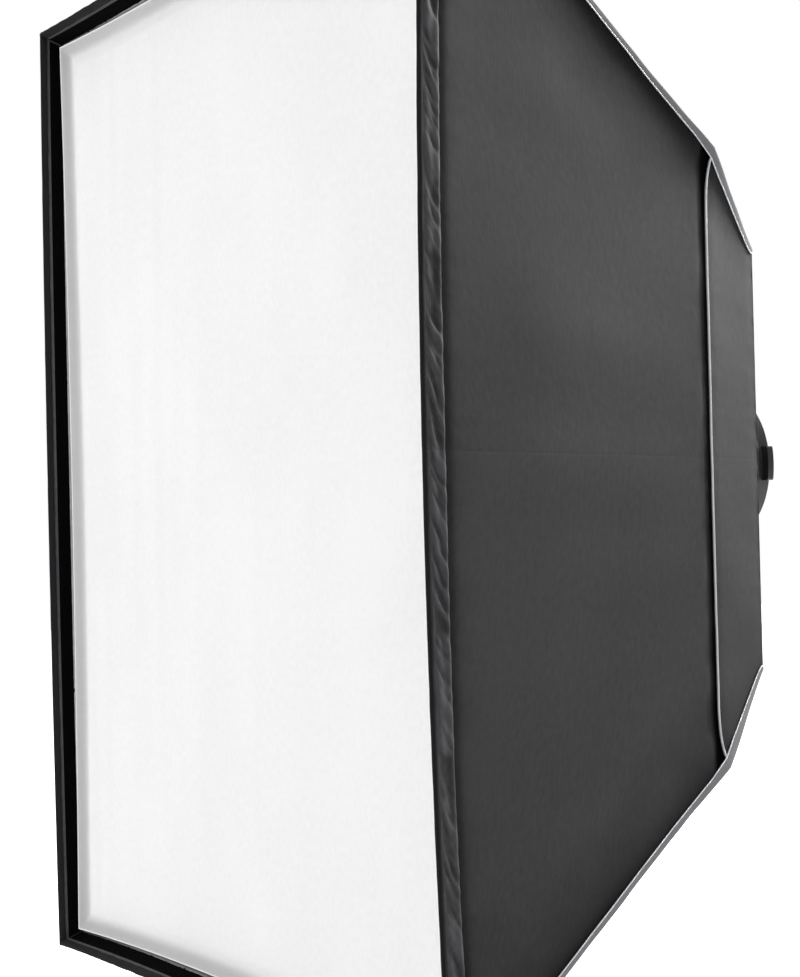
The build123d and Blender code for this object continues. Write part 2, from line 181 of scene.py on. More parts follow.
def gridPiece(name, points, uv, materials, loop=False, shade=None):
    # a mesh from rows and columns of points, with its map in metres; loop joins the last row to the first,
    # and shade, from 0 to 1, is how far the cloth is darkened in creases that light can't reach
    rows, columns = points.shape[:2]
    index = np.arange(rows * columns).reshape(rows, columns)
    mesh = bpy.data.meshes.new(name)
    faces = []
    for r in range(rows if loop else rows - 1):
        s = (r + 1) % rows
        for c in range(columns - 1):
            faces.append((index[r, c], index[r, c + 1], index[s, c + 1], index[s, c]))
    mesh.from_pydata(points.reshape(-1, 3).tolist(), [], [tuple(int(i) for i in f) for f in faces])
    layer = mesh.uv_layers.new(name="ClothMap")
    corners = np.zeros(len(mesh.loops), np.int32)
    mesh.loops.foreach_get("vertex_index", corners)
    layer.data.foreach_set("uv", uv.reshape(-1, 2)[corners].astype(np.float32).ravel())
    mesh.polygons.foreach_set("use_smooth", [True] * len(mesh.polygons))
    if shade is not None:
        darkness = mesh.attributes.new("CreaseShade", "FLOAT", "POINT")
        darkness.data.foreach_set("value", shade.astype(np.float32).ravel())
    for material in materials:
        mesh.materials.append(material)
    piece = bpy.data.objects.new(name, mesh)
    bpy.context.scene.collection.objects.link(piece)
    return piece


def thicken(piece, thickness, inner=0, offset=-1.0):
    layer = piece.modifiers.new("thickness", "SOLIDIFY")
    layer.thickness = thickness
    layer.offset = offset
    layer.use_even_offset = False
    layer.material_offset = inner
    even = piece.modifiers.new("shading", "WEIGHTED_NORMAL")
    even.weight = 100  # wide faces count most, so the thin rims don't bend the shading


def followRod(piece, corner, inside=None):
    # the cloth turns with its rod at the corner, stays put at the middle of each side, and blends between;
    # a sheet inside draws in sooner than the cloth round it, by a power that reaches 1 where it is held
    body = f"rod_{corner}"
    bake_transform(piece, "root", body, (0, collarY, 0), (0, rearY, 0))
    a = radians(cornerTurn[corner])
    spots = np.array([v.co for v in piece.data.vertices])
    p = spots[:, 0] * cos(a) + spots[:, 2] * sin(a)
    q = -spots[:, 0] * sin(a) + spots[:, 2] * cos(a)
    reach = np.minimum(p, q) / halfAt(spots[:, 1])
    depth = (collarY - spots[:, 1]) / (collarY - rearY)
    power = 1.0
    if inside:
        least, free, held = inside
        power = np.interp(np.maximum(p, q), [free, held], [least, 1])
    weight = smooth(reach) ** power * smooth(depth)
    piece.data.attributes["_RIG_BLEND"].data.foreach_set("value", weight.astype(np.float32))


# Where the camera stands: degrees round from the front, degrees up, and metres from the point it looks at

cameraPlace = {
    "azimuth": 65.73,
    "elevation": -1.13,
    "distance": 2.997,
    "target": (-0.0444, -0.4022, -0.0205),
    "roll": -1.38,
    "lens": 95.05916,  # mm, for the long side of the picture
    "sensor": 36.0,  # mm
}


def makeCamera():
    a, e = radians(cameraPlace["azimuth"]), radians(cameraPlace["elevation"])
    back = Vector((sin(a) * cos(e), -cos(a) * cos(e), sin(e)))
    level = (-back).cross(Vector((0, 0, 1))).normalized()
    upright = level.cross(-back)
    roll = radians(cameraPlace["roll"])
    right = level * cos(roll) + upright * sin(roll)
    up = upright * cos(roll) - level * sin(roll)
    data = bpy.data.cameras.new("camera")
    data.sensor_width = cameraPlace["sensor"]
    data.lens = cameraPlace["lens"]
    camera = bpy.data.objects.new("camera", data)
    bpy.context.scene.collection.objects.link(camera)
    place = Matrix((right, up, back)).transposed().to_4x4()
    place.translation = Vector(cameraPlace["target"]) + back * cameraPlace["distance"]
    camera.matrix_world = place
    bpy.context.scene.camera = camera


makeCamera()


# Studio: a pale floor under the softbox, a white surround and soft lights

studio = {
    "floorGap": 0.07,  # metres between the lowest edge and the floor
    "floorSize": 30.0,
    "floorLift": 1.2,  # brightness added to the floor where it is seen
    "surround": 0.32,  # strength of the light from all round
    # name: (place, aim, width, height, watts)
    "lights": {
        "front": ((-0.6, -4.2, 0.6), (0, -0.6, 0), 3.0, 2.4, 69),
        "side": ((3.0, -0.6, 1.3), (0, -0.3, 0.15), 0.9, 0.7, 13),
        "back": ((-0.9, 3.0, 1.5), (0, -0.1, 0.1), 1.4, 1.2, 175),
        "over": ((0, -0.3, 4.0), (0, -0.3, 0), 6.0, 6.0, 80),
    },
}


def addNode(tree, kind, inputs=None, **settings):
    # adds a node, sets its properties, then its inputs: a tuple holding a node and an output name is a link
    node = tree.nodes.new(kind)
    for name, value in settings.items():
        setattr(node, name, value)
    for name, value in (inputs or {}).items():
        if isinstance(value, tuple) and isinstance(value[0], bpy.types.Node):
            tree.links.new(value[0].outputs[value[1]], node.inputs[name])
        else:
            node.inputs[name].default_value = value
    return node


def linear(hexColour):
    # sRGB hex to linear red, green, blue and alpha
    parts = [int(hexColour[i : i + 2], 16) / 255 for i in (1, 3, 5)]
    return tuple(c / 12.92 if c <= 0.04045 else ((c + 0.055) / 1.055) ** 2.4 for c in parts) + (1.0,)


def startMaterial(name, settings):
    # a Principled shader with its constants set on its own sockets
    material = bpy.data.materials.new(name)
    material.use_nodes = True
    tree = material.node_tree
    tree.nodes.clear()
    shader = addNode(tree, "ShaderNodeBsdfPrincipled", settings)
    output = addNode(tree, "ShaderNodeOutputMaterial")
    tree.links.new(shader.outputs["BSDF"], output.inputs["Surface"])
    material.diffuse_color = (0.5, 0.5, 0.5, 1)
    return material, tree, shader


def makeWorld():
    world = bpy.data.worlds.new("surround")
    bpy.context.scene.world = world
    world.use_nodes = True
    tree = world.node_tree
    tree.nodes.clear()
    seen = addNode(tree, "ShaderNodeLightPath")
    soft = addNode(tree, "ShaderNodeBackground", {"Color": linear("#ffffff"), "Strength": studio["surround"]})
    white = addNode(tree, "ShaderNodeBackground", {"Color": linear("#ffffff"), "Strength": 1.0})
    both = addNode(tree, "ShaderNodeMixShader", {0: (seen, "Is Camera Ray"), 1: (soft, 0), 2: (white, 0)})
    addNode(tree, "ShaderNodeOutputWorld", {"Surface": (both, 0)})


def makeLights():
    for name, (place, aim, width, height, watts) in studio["lights"].items():
        data = bpy.data.lights.new(name, "AREA")
        data.shape = "RECTANGLE"
        data.size = width
        data.size_y = height
        data.energy = watts
        light = bpy.data.objects.new(name, data)
        light.location = place
        light.rotation_euler = (Vector(aim) - Vector(place)).to_track_quat("-Z", "Y").to_euler()
        bpy.context.scene.collection.objects.link(light)


def makeFloor():
    # matt studio paint: a slight mottle keeps it from looking cut out
    material, tree, shader = startMaterial("floorPaint", {"Roughness": 0.8})
    place = addNode(tree, "ShaderNodeTexCoord")
    mottle = addNode(tree, "ShaderNodeTexNoise", {"Vector": (place, "Object"), "Scale": 3.0})
    tone = addNode(tree, "ShaderNodeValToRGB", {"Fac": (mottle, 0)})
    tone.color_ramp.elements[0].color = linear("#f0f0f0")
    tone.color_ramp.elements[1].color = linear("#f7f7f7")
    tree.links.new(tone.outputs[0], shader.inputs["Base Color"])
    # lifted to white where it is seen, as a lit sweep is, without throwing that light up at the softbox
    seen = addNode(tree, "ShaderNodeLightPath")
    amount = {0: (seen, "Is Camera Ray"), 1: studio["floorLift"]}
    lift = addNode(tree, "ShaderNodeMath", amount, operation="MULTIPLY")
    shader.inputs["Emission Color"].default_value = linear("#ffffff")
    tree.links.new(lift.outputs[0], shader.inputs["Emission Strength"])
    low = cadBox[0].z - studio["floorGap"]
    side = studio["floorSize"] / 2
    corners = [(x * side, y * side, low) for x, y in ((-1, -1), (1, -1), (1, 1), (-1, 1))]
    mesh = bpy.data.meshes.new("floor")
    mesh.from_pydata(corners, [], [(0, 1, 2, 3)])
    mesh.materials.append(material)
    floor = bpy.data.objects.new("floor", mesh)
    bpy.context.scene.collection.objects.link(floor)


makeWorld()
makeLights()
makeFloor()
bpy.context.scene.view_settings.view_transform = "Standard"
print("stage: camera, lights and floor")


# Finishes, each named for its material and how its surface is made

waveTurn = 2 * pi / 20  # a wave texture has 20 radians of phase for each unit
weave = {
    "thread": 2.4,  # mm between threads; the real 0.4 mm is too fine to show, so it is drawn coarser
    "height": 0.12,  # mm
    "fade": 260.0,  # mm across a patch of slightly faded dye
    "crumple": 38.0,  # mm between the soft creases that storage leaves
    "crumpleDepth": 1.5,  # mm
}


def wovenMaterial(name, dark, light, deep, settings, height=weave["height"], crumple=0.16):
    # a plain weave: two crossed sets of threads, a slow change of tone, soft storage creases, and a painted
    # shade colour for its creases
    thread = weave["thread"] * mm
    material, tree, shader = startMaterial(name, settings)
    place = addNode(tree, "ShaderNodeUVMap", uv_map="ClothMap")
    spacing = {"Vector": (place, 0), "Scale": waveTurn / thread}
    warp = addNode(tree, "ShaderNodeTexWave", spacing, bands_direction="X")
    weft = addNode(tree, "ShaderNodeTexWave", spacing, bands_direction="Y")
    threads = addNode(tree, "ShaderNodeMath", {0: (warp, "Fac"), 1: (weft, "Fac")}, operation="MULTIPLY")
    patch = addNode(
        tree, "ShaderNodeTexNoise", {"Vector": (place, 0), "Scale": 1 / (weave["fade"] * mm), "Detail": 3.0}
    )
    grain = addNode(tree, "ShaderNodeTexNoise", {"Vector": (place, 0), "Scale": 0.3 / thread, "Detail": 2.0})
    tone = addNode(tree, "ShaderNodeMath", {0: (patch, 0), 1: (grain, 0)}, operation="ADD")
    shade = addNode(tree, "ShaderNodeMapRange", {0: (tone, 0), 1: 0.75, 2: 1.25})
    amounts = {0: (threads, 0), 1: 0.25, 2: (shade, 0)}
    warpTone = addNode(tree, "ShaderNodeMath", amounts, operation="MULTIPLY_ADD")
    colour = addNode(tree, "ShaderNodeValToRGB", {"Fac": (warpTone, 0)})
    colour.color_ramp.elements[0].color = linear(dark)
    colour.color_ramp.elements[1].color = linear(light)
    # painted shade: creases that light can't reach lose both their tone and their gloss; 6 and 7 are the
    # mix's colours
    paintedShadeAttribute = addNode(tree, "ShaderNodeAttribute", attribute_name="CreaseShade")
    tones = {0: (paintedShadeAttribute, "Fac"), 6: (colour, 0), 7: linear(deep)}
    shaded = addNode(tree, "ShaderNodeMix", tones, data_type="RGBA")
    tree.links.new(shaded.outputs[2], shader.inputs["Base Color"])
    level = settings.get("Specular IOR Level", 0.5)
    gloss = addNode(tree, "ShaderNodeMapRange", {0: (paintedShadeAttribute, "Fac"), 3: level, 4: 0.0})
    tree.links.new(gloss.outputs[0], shader.inputs["Specular IOR Level"])
    crease = addNode(
        tree,
        "ShaderNodeTexNoise",
        {"Vector": (place, 0), "Scale": 1 / (weave["crumple"] * mm), "Detail": 2.0, "Distortion": 0.6},
    )
    creased = addNode(
        tree,
        "ShaderNodeBump",
        {"Height": (crease, 0), "Strength": crumple, "Distance": weave["crumpleDepth"] * mm},
    )
    woven = addNode(
        tree,
        "ShaderNodeBump",
        {"Height": (threads, 0), "Strength": 0.5, "Distance": height * mm, "Normal": (creased, 0)},
    )
    tree.links.new(woven.outputs[0], shader.inputs["Normal"])
    return material


def ribbedMaterial(name, dark, light, settings, rib, depth, direction="Y"):
    # grosgrain, elastic, wound cord or hooks: ribs at one spacing, each a little uneven
    material, tree, shader = startMaterial(name, settings)
    place = addNode(tree, "ShaderNodeUVMap", uv_map="ClothMap")
    ribs = addNode(
        tree,
        "ShaderNodeTexWave",
        {"Vector": (place, 0), "Scale": waveTurn / (rib * mm), "Distortion": 0.6, "Detail": 1.0},
        bands_direction=direction,
    )
    wear = addNode(tree, "ShaderNodeTexNoise", {"Vector": (place, 0), "Scale": 25.0, "Detail": 3.0})
    tone = addNode(tree, "ShaderNodeMath", {0: (wear, 0), 1: 0.6, 2: (ribs, "Fac")}, operation="MULTIPLY_ADD")
    shade = addNode(tree, "ShaderNodeMapRange", {0: (tone, 0), 1: 0.1, 2: 1.4})
    colour = addNode(tree, "ShaderNodeValToRGB", {"Fac": (shade, 0)})
    colour.color_ramp.elements[0].color = linear(dark)
    colour.color_ramp.elements[1].color = linear(light)
    tree.links.new(colour.outputs[0], shader.inputs["Base Color"])
    bump = addNode(tree, "ShaderNodeBump", {"Height": (ribs, "Fac"), "Strength": 0.6, "Distance": depth * mm})
    tree.links.new(bump.outputs[0], shader.inputs["Normal"])
    return material


def hardMaterial(name, dark, light, settings, grain, depth, roughness, stretch=(1, 1, 1)):
    # moulded or metal parts: grain or tool marks in the bump, tone and roughness that vary over the surface
    material, tree, shader = startMaterial(name, settings)
    place = addNode(tree, "ShaderNodeTexCoord")
    spread = addNode(tree, "ShaderNodeMapping", {"Vector": (place, "Object"), "Scale": stretch})
    grains = {"Vector": (spread, 0), "Scale": 1 / (grain * mm), "Detail": 3.0}
    fine = addNode(tree, "ShaderNodeTexNoise", grains)
    slow = addNode(tree, "ShaderNodeTexNoise", {"Vector": (place, "Object"), "Scale": 22.0, "Detail": 4.0})
    colour = addNode(tree, "ShaderNodeValToRGB", {"Fac": (slow, 0)})
    colour.color_ramp.elements[0].position = 0.3
    colour.color_ramp.elements[1].position = 0.7
    colour.color_ramp.elements[0].color = linear(dark)
    colour.color_ramp.elements[1].color = linear(light)
    tree.links.new(colour.outputs[0], shader.inputs["Base Color"])
    limits = {0: (slow, 0), 1: 0.3, 2: 0.7, 3: roughness[0], 4: roughness[1]}
    rough = addNode(tree, "ShaderNodeMapRange", limits)
    tree.links.new(rough.outputs[0], shader.inputs["Roughness"])
    bump = addNode(tree, "ShaderNodeBump", {"Height": (fine, 0), "Strength": 0.5, "Distance": depth * mm})
    tree.links.new(bump.outputs[0], shader.inputs["Normal"])
    return material


cloth = {
    "Roughness": 0.7,
    "IOR": 1.5,
    "Sheen Weight": 0.03,
    "Sheen Roughness": 0.4,
    "Specular IOR Level": 0.15,
}
tapeCloth = {"Roughness": 0.8, "IOR": 1.5, "Specular IOR Level": 0.12}
foil = {"Metallic": 0.85, "Roughness": 0.38}
yarn = {"Metallic": 0.35, "Roughness": 0.42, "Sheen Weight": 0.2}
nylon = {"Roughness": 0.6, "Sheen Weight": 0.1}
nap = {"Roughness": 0.95, "Specular IOR Level": 0.02}
anodised = {"Specular IOR Level": 0.7}
metal = {"Metallic": 1.0}
plastic = {"IOR": 1.5}
finish = {
    # dyed polyester, plain woven: dull black that greys where light grazes it
    "black_cloth": wovenMaterial("wovenPolyesterBlack", "#2a2a2b", "#333335", "#040404", cloth),
    # a lighter copy of the same black cloth for the hem: painted light, greyer to stand in for the light its
    # gathers catch
    "hem_cloth": wovenMaterial("polyesterBlackPaintedLight", "#3e3e40", "#4c4c4e", "#060606", cloth),
    # vacuum metallised backing: bright, broken up by creases
    "silver_lining": wovenMaterial(
        "metallisedPolyesterLining", "#b4b5b8", "#d0d1d3", "#8f9092", foil, crumple=0.6
    ),
    # folded polyester grosgrain: fine cross ribs
    "grey_tape": ribbedMaterial("grosgrainTapeGrey", "#66666a", "#838386", cloth, 1.6, 0.15),
    # the same tape in black, folded over the front edge
    "black_tape": ribbedMaterial("grosgrainTapeBlack", "#171719", "#212123", tapeCloth, 1.6, 0.15, "X"),
    # metallised yarn woven into an edge or wound on a cord: bright ribs
    "silver_piping": ribbedMaterial(
        "metallisedYarnWound", "#b9babd", "#ececee", yarn, 1.8, 0.2, "X"
    ),
    # calendered white nylon: smooth, near pure white, faint creases
    "white_diffuser": wovenMaterial(
        "calenderedNylonWhite", "#f4f4f4", "#fafafa", "#8c8c8c", nylon, 0.03, 0.12
    ),
    # woven elastic and webbing: bold ribs
    "webbing": ribbedMaterial("wovenWebbingBlack", "#161617", "#242426", cloth, 2.2, 0.3),
    # moulded hook tape: a nap so deep that it hardly reflects
    "hook_tape": ribbedMaterial("mouldedHookTape", "#020202", "#080808", nap, 1.5, 0.5),
    # turned aluminium, black anodised: satin, with fine turning marks round the axis
    "black_aluminium": hardMaterial(
        "anodisedAluminiumBlack", "#262628", "#323235", anodised, 0.9, 0.05, (0.3, 0.4), (1, 6, 1)
    ),
    # glass filled nylon from a spark-eroded mould: even fine grain
    "moulded_nylon": hardMaterial(
        "mouldedNylonBlack", "#19191a", "#232325", plastic, 0.7, 0.08, (0.45, 0.58)
    ),
    # polished mould ABS: clean and glossy
    "button_plastic": hardMaterial(
        "mouldedAbsOrangeRed", "#c23a14", "#cf4a1e", plastic, 1.4, 0.03, (0.22, 0.32)
    ),
    # cold drawn spring steel: long faint draw lines
    "spring_steel": hardMaterial("drawnSpringSteel", "#8f9092", "#a9aaac", metal, 1.2, 0.05, (0.28, 0.4)),
    # zinc plate, clear passivated: bright, slightly blotchy
    "plated_steel": hardMaterial("zincPlatedSteel", "#a9adb2", "#c0c4c8", metal, 1.0, 0.04, (0.24, 0.4)),
}
print("stage:", len(finish), "materials")


# Front lip: the hem that stands ahead of the diffuser, its edge binding and the hook tape inside

hem = {
    "columns": 230,
    "rows": 13,
    "wall": 2.6,  # mm through the folded hem
    "gatherHeight": 2.7,  # mm that the gathers stand proud
    "gatherLength": 16.0,  # mm from a gather's ridge to its valley
    "valleyShade": 0.5,  # how dark the valleys between them are
    "slant": 1.5,  # mm along the edge for each mm back, so the gathers lie diagonally
    "ridge": 2.6,  # mm that the rear edge of the hem stands over the panel
    "swell": 0.6,  # mm that its middle stands proud
    "cornerCalm": 22.0,  # mm beside the corner with no gathers
    # wavelengths in mm, along the edge and back from it
    "wander": (90, 40),  # of the gathers' spacing
    "strength": (55, 30),  # of their height
    "foldRun": 26,  # of the gathers themselves, back from the edge
    "fineRun": 14,  # and of the fine creases between them
}
# a tape folded over the front edge: mm of it outside and inside, and how far its edges wander
binding = {
    "columns": 160,
    "outside": 5.0,
    "inside": 6.0,
    "nose": 0.9,  # mm that the fold stands ahead of the hem
    "near": 0.6,  # mm back from the front edge where it meets the hem
    "stand": 0.7,  # mm that it stands off the hem inside
    "thickness": 0.9,
    "wave": 0.5,
    "waveLength": 23.0,
    "cornerCalm": 10.0,
}
# mm behind the front edge where the tape starts and ends
hook = {"columns": 110, "rows": 5, "first": 9.5, "last": 26.0, "thickness": 1.3, "gap": 0.1}


def distanceToCorner(share, y):
    return np.abs(share) * halfAt(y)


def gathers(share, y, corner):
    # diagonal gathers whose spacing and height wander, dying out at the corner
    along, seed = sideSpot(share, y, corner)
    back = y - frontY
    phase = (along + hem["slant"] * back) / (hem["gatherLength"] * mm)
    wander = ripple(along / (hem["wander"][0] * mm), back / (hem["wander"][1] * mm), seed)
    height = ripple(along / (hem["strength"][0] * mm), back / (hem["strength"][1] * mm), seed + 7.3)
    strength = 0.7 + 0.5 * height
    folds = ripple(phase + 1.3 * wander, back / (hem["foldRun"] * mm), seed + 3.1)
    fine = ripple(phase * 2.6, back / (hem["fineRun"] * mm), seed + 9.0) * 0.25
    calm = smooth(distanceToCorner(share, y) / (hem["cornerCalm"] * mm))
    return smooth(0.5 + 0.75 * folds * strength + fine) * calm


def makeHem(corner):
    share = columnShares(hem["columns"])
    t = np.linspace(1, 0, hem["rows"])
    y = np.repeat((frontY + (lipY - frontY) * t)[:, None], len(share), 1)
    s = np.repeat(share[None, :], hem["rows"], 0)
    depth = (y - frontY) / (lipY - frontY)
    swell = np.sin(np.pi * depth) * hem["swell"] * mm + hem["ridge"] * mm * smooth(depth * 3 - 2)
    calm = smooth(distanceToCorner(s, y) / (hem["cornerCalm"] * mm))
    # the gathers start behind the binding and flatten again at the rear stitching
    body = smooth((depth - 0.16) * 4) * (1 - 0.45 * smooth(depth * 6 - 5))
    fold = gathers(s, y, corner) * body
    outer = shellPoint(s, y, swell * calm + fold * hem["gatherHeight"] * mm)
    inner = shellPoint(s, y, -hem["wall"] * mm + 0 * y)
    points = np.concatenate([outer, inner[::-1]])
    uv = np.stack([s * halfAt(y), y], -1)
    # painted shade in the valleys between the gathers
    dark = hem["valleyShade"] * calm * body * (1 - smooth(fold * 1.6))
    piece = gridPiece(
        f"front_hem_{corner}",
        turned(points, corner),
        np.concatenate([uv, uv[::-1]]),
        [finish["hem_cloth"]],
        loop=True,
        shade=np.concatenate([dark, 0 * dark]),
    )
    followRod(piece, corner)


def makeBinding(corner):
    # how far back and how far out each line of the folded tape lies, from its outer edge to its inner one
    wall = hem["wall"]
    near, nose, stand = binding["near"], binding["nose"], binding["stand"]
    share = columnShares(binding["columns"])
    wrap = [
        (binding["outside"], 1.0),
        (binding["outside"] * 0.5, 1.15),
        (near, 1.0),
        (-0.5, 0.0),
        (-nose, -wall / 2),
        (-0.5, -wall),
        (near, -wall - stand),
        (binding["inside"] * 0.5, -wall - stand),
        (binding["inside"], -wall - 0.5),
    ]
    rows = []
    maps = []
    run = 0.0
    for i, (back, lift) in enumerate(wrap):
        y = np.full_like(share, frontY + back * mm)
        along, seed = sideSpot(share, y, corner)
        wave = ripple(along / (binding["waveLength"] * mm), y / mm, seed) * binding["wave"] * mm
        calm = smooth(distanceToCorner(share, y) / (binding["cornerCalm"] * mm))
        rows.append(shellPoint(share, y, lift * mm + wave * calm))
        run += 0.0 if i == 0 else hypot(back - wrap[i - 1][0], lift - wrap[i - 1][1]) * mm
        maps.append(np.stack([share * frontHalf, np.full_like(share, run)], -1))
    points = turned(np.array(rows), corner)
    piece = gridPiece(f"lip_binding_{corner}", points, np.array(maps), [finish["black_tape"]])
    thicken(piece, binding["thickness"] * mm, offset=0.0)
    followRod(piece, corner)


def makeHookTape(corner):
    share = columnShares(hook["columns"])
    lines = np.linspace(hook["first"], hook["last"], hook["rows"])
    y = np.repeat((frontY + lines * mm)[:, None], len(share), 1)
    s = np.repeat(share[None, :], len(lines), 0)
    points = shellPoint(s, y, -(hem["wall"] + hook["gap"]) * mm + 0 * y)
    uv = np.stack([s * halfAt(y), y], -1)
    piece = gridPiece(f"hook_tape_{corner}", turned(points, corner), uv, [finish["hook_tape"]])
    thicken(piece, hook["thickness"] * mm)
    followRod(piece, corner)


# Shell cloth: the four main sides, the four rear sides and the steep back, each cut at the corners

panel = {
    "thickness": 0.8,  # mm, cloth and lining together
    "under": 3.0,  # mm that the side cloth reaches under the hem
    "dipWidth": 8.0,  # mm over which the cloth sinks beside its stitching
    "dipPlaces": (3, 5),  # mm from the first and the last edge to the lowest line
    "puckerHeight": 0.55,  # mm height of the small puckers at the stitching
    "puckerLength": 13.0,
    "puckerRun": 45.0,
    "puckerReach": 22.0,  # mm from the stitching over which they fade
    "slack": 1.6,  # mm height of the long soft folds
    "foldLength": 320.0,
    "foldWidth": 85.0,
    "cornerCalm": 14.0,
    "hemShade": 16.0,  # mm over which the shade beside the hem fades
    "seamShade": 20.0,  # and beside the piping
    "cornerShade": (20, 75),  # and beside the corner tape, dark and soft part
    "shadeWander": (40, 60),  # mm wavelengths of the uneven edge of that shade
    "toneWander": (150, 110),  # and of the cloth's wandering tone
    # columns, rows, dips in mm at the first and last edge, then how much painted shade those edges and the
    # corner get and how strongly the cloth's tone wanders
    "side": (150, 110, (2.4, 2.6), (0.6, 0.98, 0.75, 0.06)),
    "rear": (90, 50, (0.8, 0.4), (0.15, 0.0, 0.4, 0.2)),
    "back": (70, 26, (0.0, 0.0), (0.1, 0.3, 0.3, 0.1)),
}


def panelLift(share, y, corner, first, last, dips):
    # how far the cloth stands off the straight wall between two stitched edges
    along, seed = sideSpot(share, y, corner)
    fromFirst = (y - first) / mm
    fromLast = (last - y) / mm
    width = panel["dipWidth"]
    firstPlace, lastPlace = panel["dipPlaces"]
    firstDip = dips[0] * np.exp(-(((fromFirst - firstPlace) / width) ** 2))
    lastDip = dips[1] * np.exp(-(((fromLast - lastPlace) / width) ** 2))
    puckerReach = panel["puckerReach"]
    near = np.exp(-fromFirst / puckerReach) * (dips[0] > 0) + np.exp(-fromLast / puckerReach)
    pucker = ripple(along / (panel["puckerLength"] * mm), y / (panel["puckerRun"] * mm), seed)
    pucker = pucker * panel["puckerHeight"] * near
    diagonal = along * (1 + 0.5 * (y - first))
    fold = ripple(diagonal / (panel["foldWidth"] * mm), y / (panel["foldLength"] * mm), seed + 5)
    fold = fold * panel["slack"]
    middle = np.sin(np.pi * np.clip((y - first) / (last - first), 0, 1))
    calm = smooth(distanceToCorner(share, y) / (panel["cornerCalm"] * mm))
    return (-firstDip - lastDip + pucker + fold * middle) * calm * mm


def panelShade(share, y, corner, first, last, amounts):
    # painted shade in the creases beside the hem, beside the piping and along the corner tape
    aside = distanceToCorner(share, y) / mm
    fromFirst = (y - first) / mm
    fromLast = (last - y) / mm
    along, seed = sideSpot(share, y, corner)
    byHem, bySeam, byCorner, wandering = amounts
    shadeAlong, shadeRun = panel["shadeWander"]
    toneAlong, toneRun = panel["toneWander"]
    dark, soft = panel["cornerShade"]
    uneven = 1 + 0.35 * ripple(along / (shadeAlong * mm), y / (shadeRun * mm), seed + 2)
    wide = ripple(along / (toneAlong * mm), y / (toneRun * mm), seed + 4)
    shade = byHem * np.exp(-np.maximum(fromFirst - panel["under"], 0) / (panel["hemShade"] * uneven))
    shade += bySeam * np.clip(1 - fromLast / (panel["seamShade"] * uneven), 0, 1) ** 0.7
    darkPart = np.exp(-((aside / dark) ** 2))
    softPart = np.exp(-((aside / (soft * uneven)) ** 2))
    shade += byCorner * (0.5 * darkPart + 0.5 * softPart)
    return np.clip(shade + wandering * wide, 0, 1)


def edgeRows(first, last, count):
    # stations between two edges, closer together near both
    tight = 1.8
    t = np.linspace(-1, 1, count)
    return first + (last - first) * (1 + np.sign(t) * (1 - (1 - np.abs(t)) ** tight)) / 2


def makePanel(name, corner, first, last, settings):
    columns, rows, dips, shades = settings
    beyond = 1 + shell["lap"] * mm / halfAt(first)
    share = np.concatenate([[-beyond], columnShares(columns), [beyond]])
    y = np.repeat(edgeRows(first, last, rows)[::-1][:, None], len(share), 1)
    s = np.repeat(share[None, :], rows, 0)
    points = shellPoint(s, y, panelLift(s, y, corner, first, last, dips))
    slope = hypot(last - first, halfAt(last) - halfAt(first)) / (last - first)
    uv = np.stack([s * halfAt(y), y * slope], -1)
    materials = [finish["black_cloth"], finish["silver_lining"]]
    shade = panelShade(s, y, corner, first, last, shades)
    piece = gridPiece(f"{name}_{corner}", turned(points, corner), uv, materials, shade=shade)
    thicken(piece, panel["thickness"] * mm, inner=1)
    followRod(piece, corner)


# Corner tape, its two silver edges, and the piping in the seam between main and rear sides

tape = {
    "mainHalf": 7.0,  # mm, half its width along the main panels
    "rearHalf": 10.5,  # and along the rear panels, where it is less stretched
    "widens": (30.0, 20.0),  # mm before and behind the seam where it goes from one to the other
    "lift": 1.5,  # mm that it stands off the cloth
    "thickness": 0.7,
    "wave": 0.35,  # mm that it and its edges wander
    "waveLength": (12, 30),  # mm, across and along
    "edge": 0.75,  # mm radius of the metallised edge
    "round": 3.0,  # mm radius where it goes round the corner
    "endRound": 17.0,  # mm over which the rear end is rounded off
    "bend": (8.0, 6.0),  # mm from the seam where the close stations begin
    "overhang": 0.4,  # mm that it stands ahead of the front edge
}
# mm, with the number of facets round it; it stands off the seam and stops short of the corner tape
cord = {"radius": 1.35, "stand": 1.4, "endGap": 8.0, "turns": 10, "wander": 0.5, "waves": 30}


def tapePoint(across, y, lift):
    # across is measured round the corner, negative on the first side
    half = halfAt(y)
    share = np.sign(across) * np.clip(np.abs(across) / half, 0, 1)
    points = shellPoint(share, y, 0 * y)
    r = tape["round"] * mm
    soft = np.clip(1 - np.abs(across) / r, 0, 1) ** 2 * r * 0.3
    points[..., 0] += np.where(across <= 0, lift, lift * np.clip(1 - across / r, 0, 1)) - soft * 0.7
    points[..., 1] += np.where(across > 0, lift, lift * np.clip(1 + across / r, 0, 1)) - soft * 0.7
    return points


def tapeWidth(y):
    # half the tape's width, rounded off at its rear end
    t = np.clip(1 - (rearY - y) / (tape["endRound"] * mm), 0, 1)
    before, behind = tape["widens"]
    half = np.interp(y, [seamY - before * mm, seamY + behind * mm], [tape["mainHalf"], tape["rearHalf"]])
    return half * mm * np.sqrt(np.clip(1 - t**2.2, 0.02, 1))


def tapeStations():
    # rows along the tape, close together where it bends at the seam and where its rear end is rounded
    far, close = tape["bend"]
    main = np.linspace(frontY - tape["overhang"] * mm, seamY - far * mm, 90)
    bend = np.linspace(seamY - close * mm, seamY + close * mm, 7)
    rear = np.linspace(seamY + far * mm, rearY - tape["endRound"] * mm, 24)
    end = rearY - tape["endRound"] * mm * (1 - np.linspace(0, 1, 9)[1:])
    return np.concatenate([main, bend, rear, end])


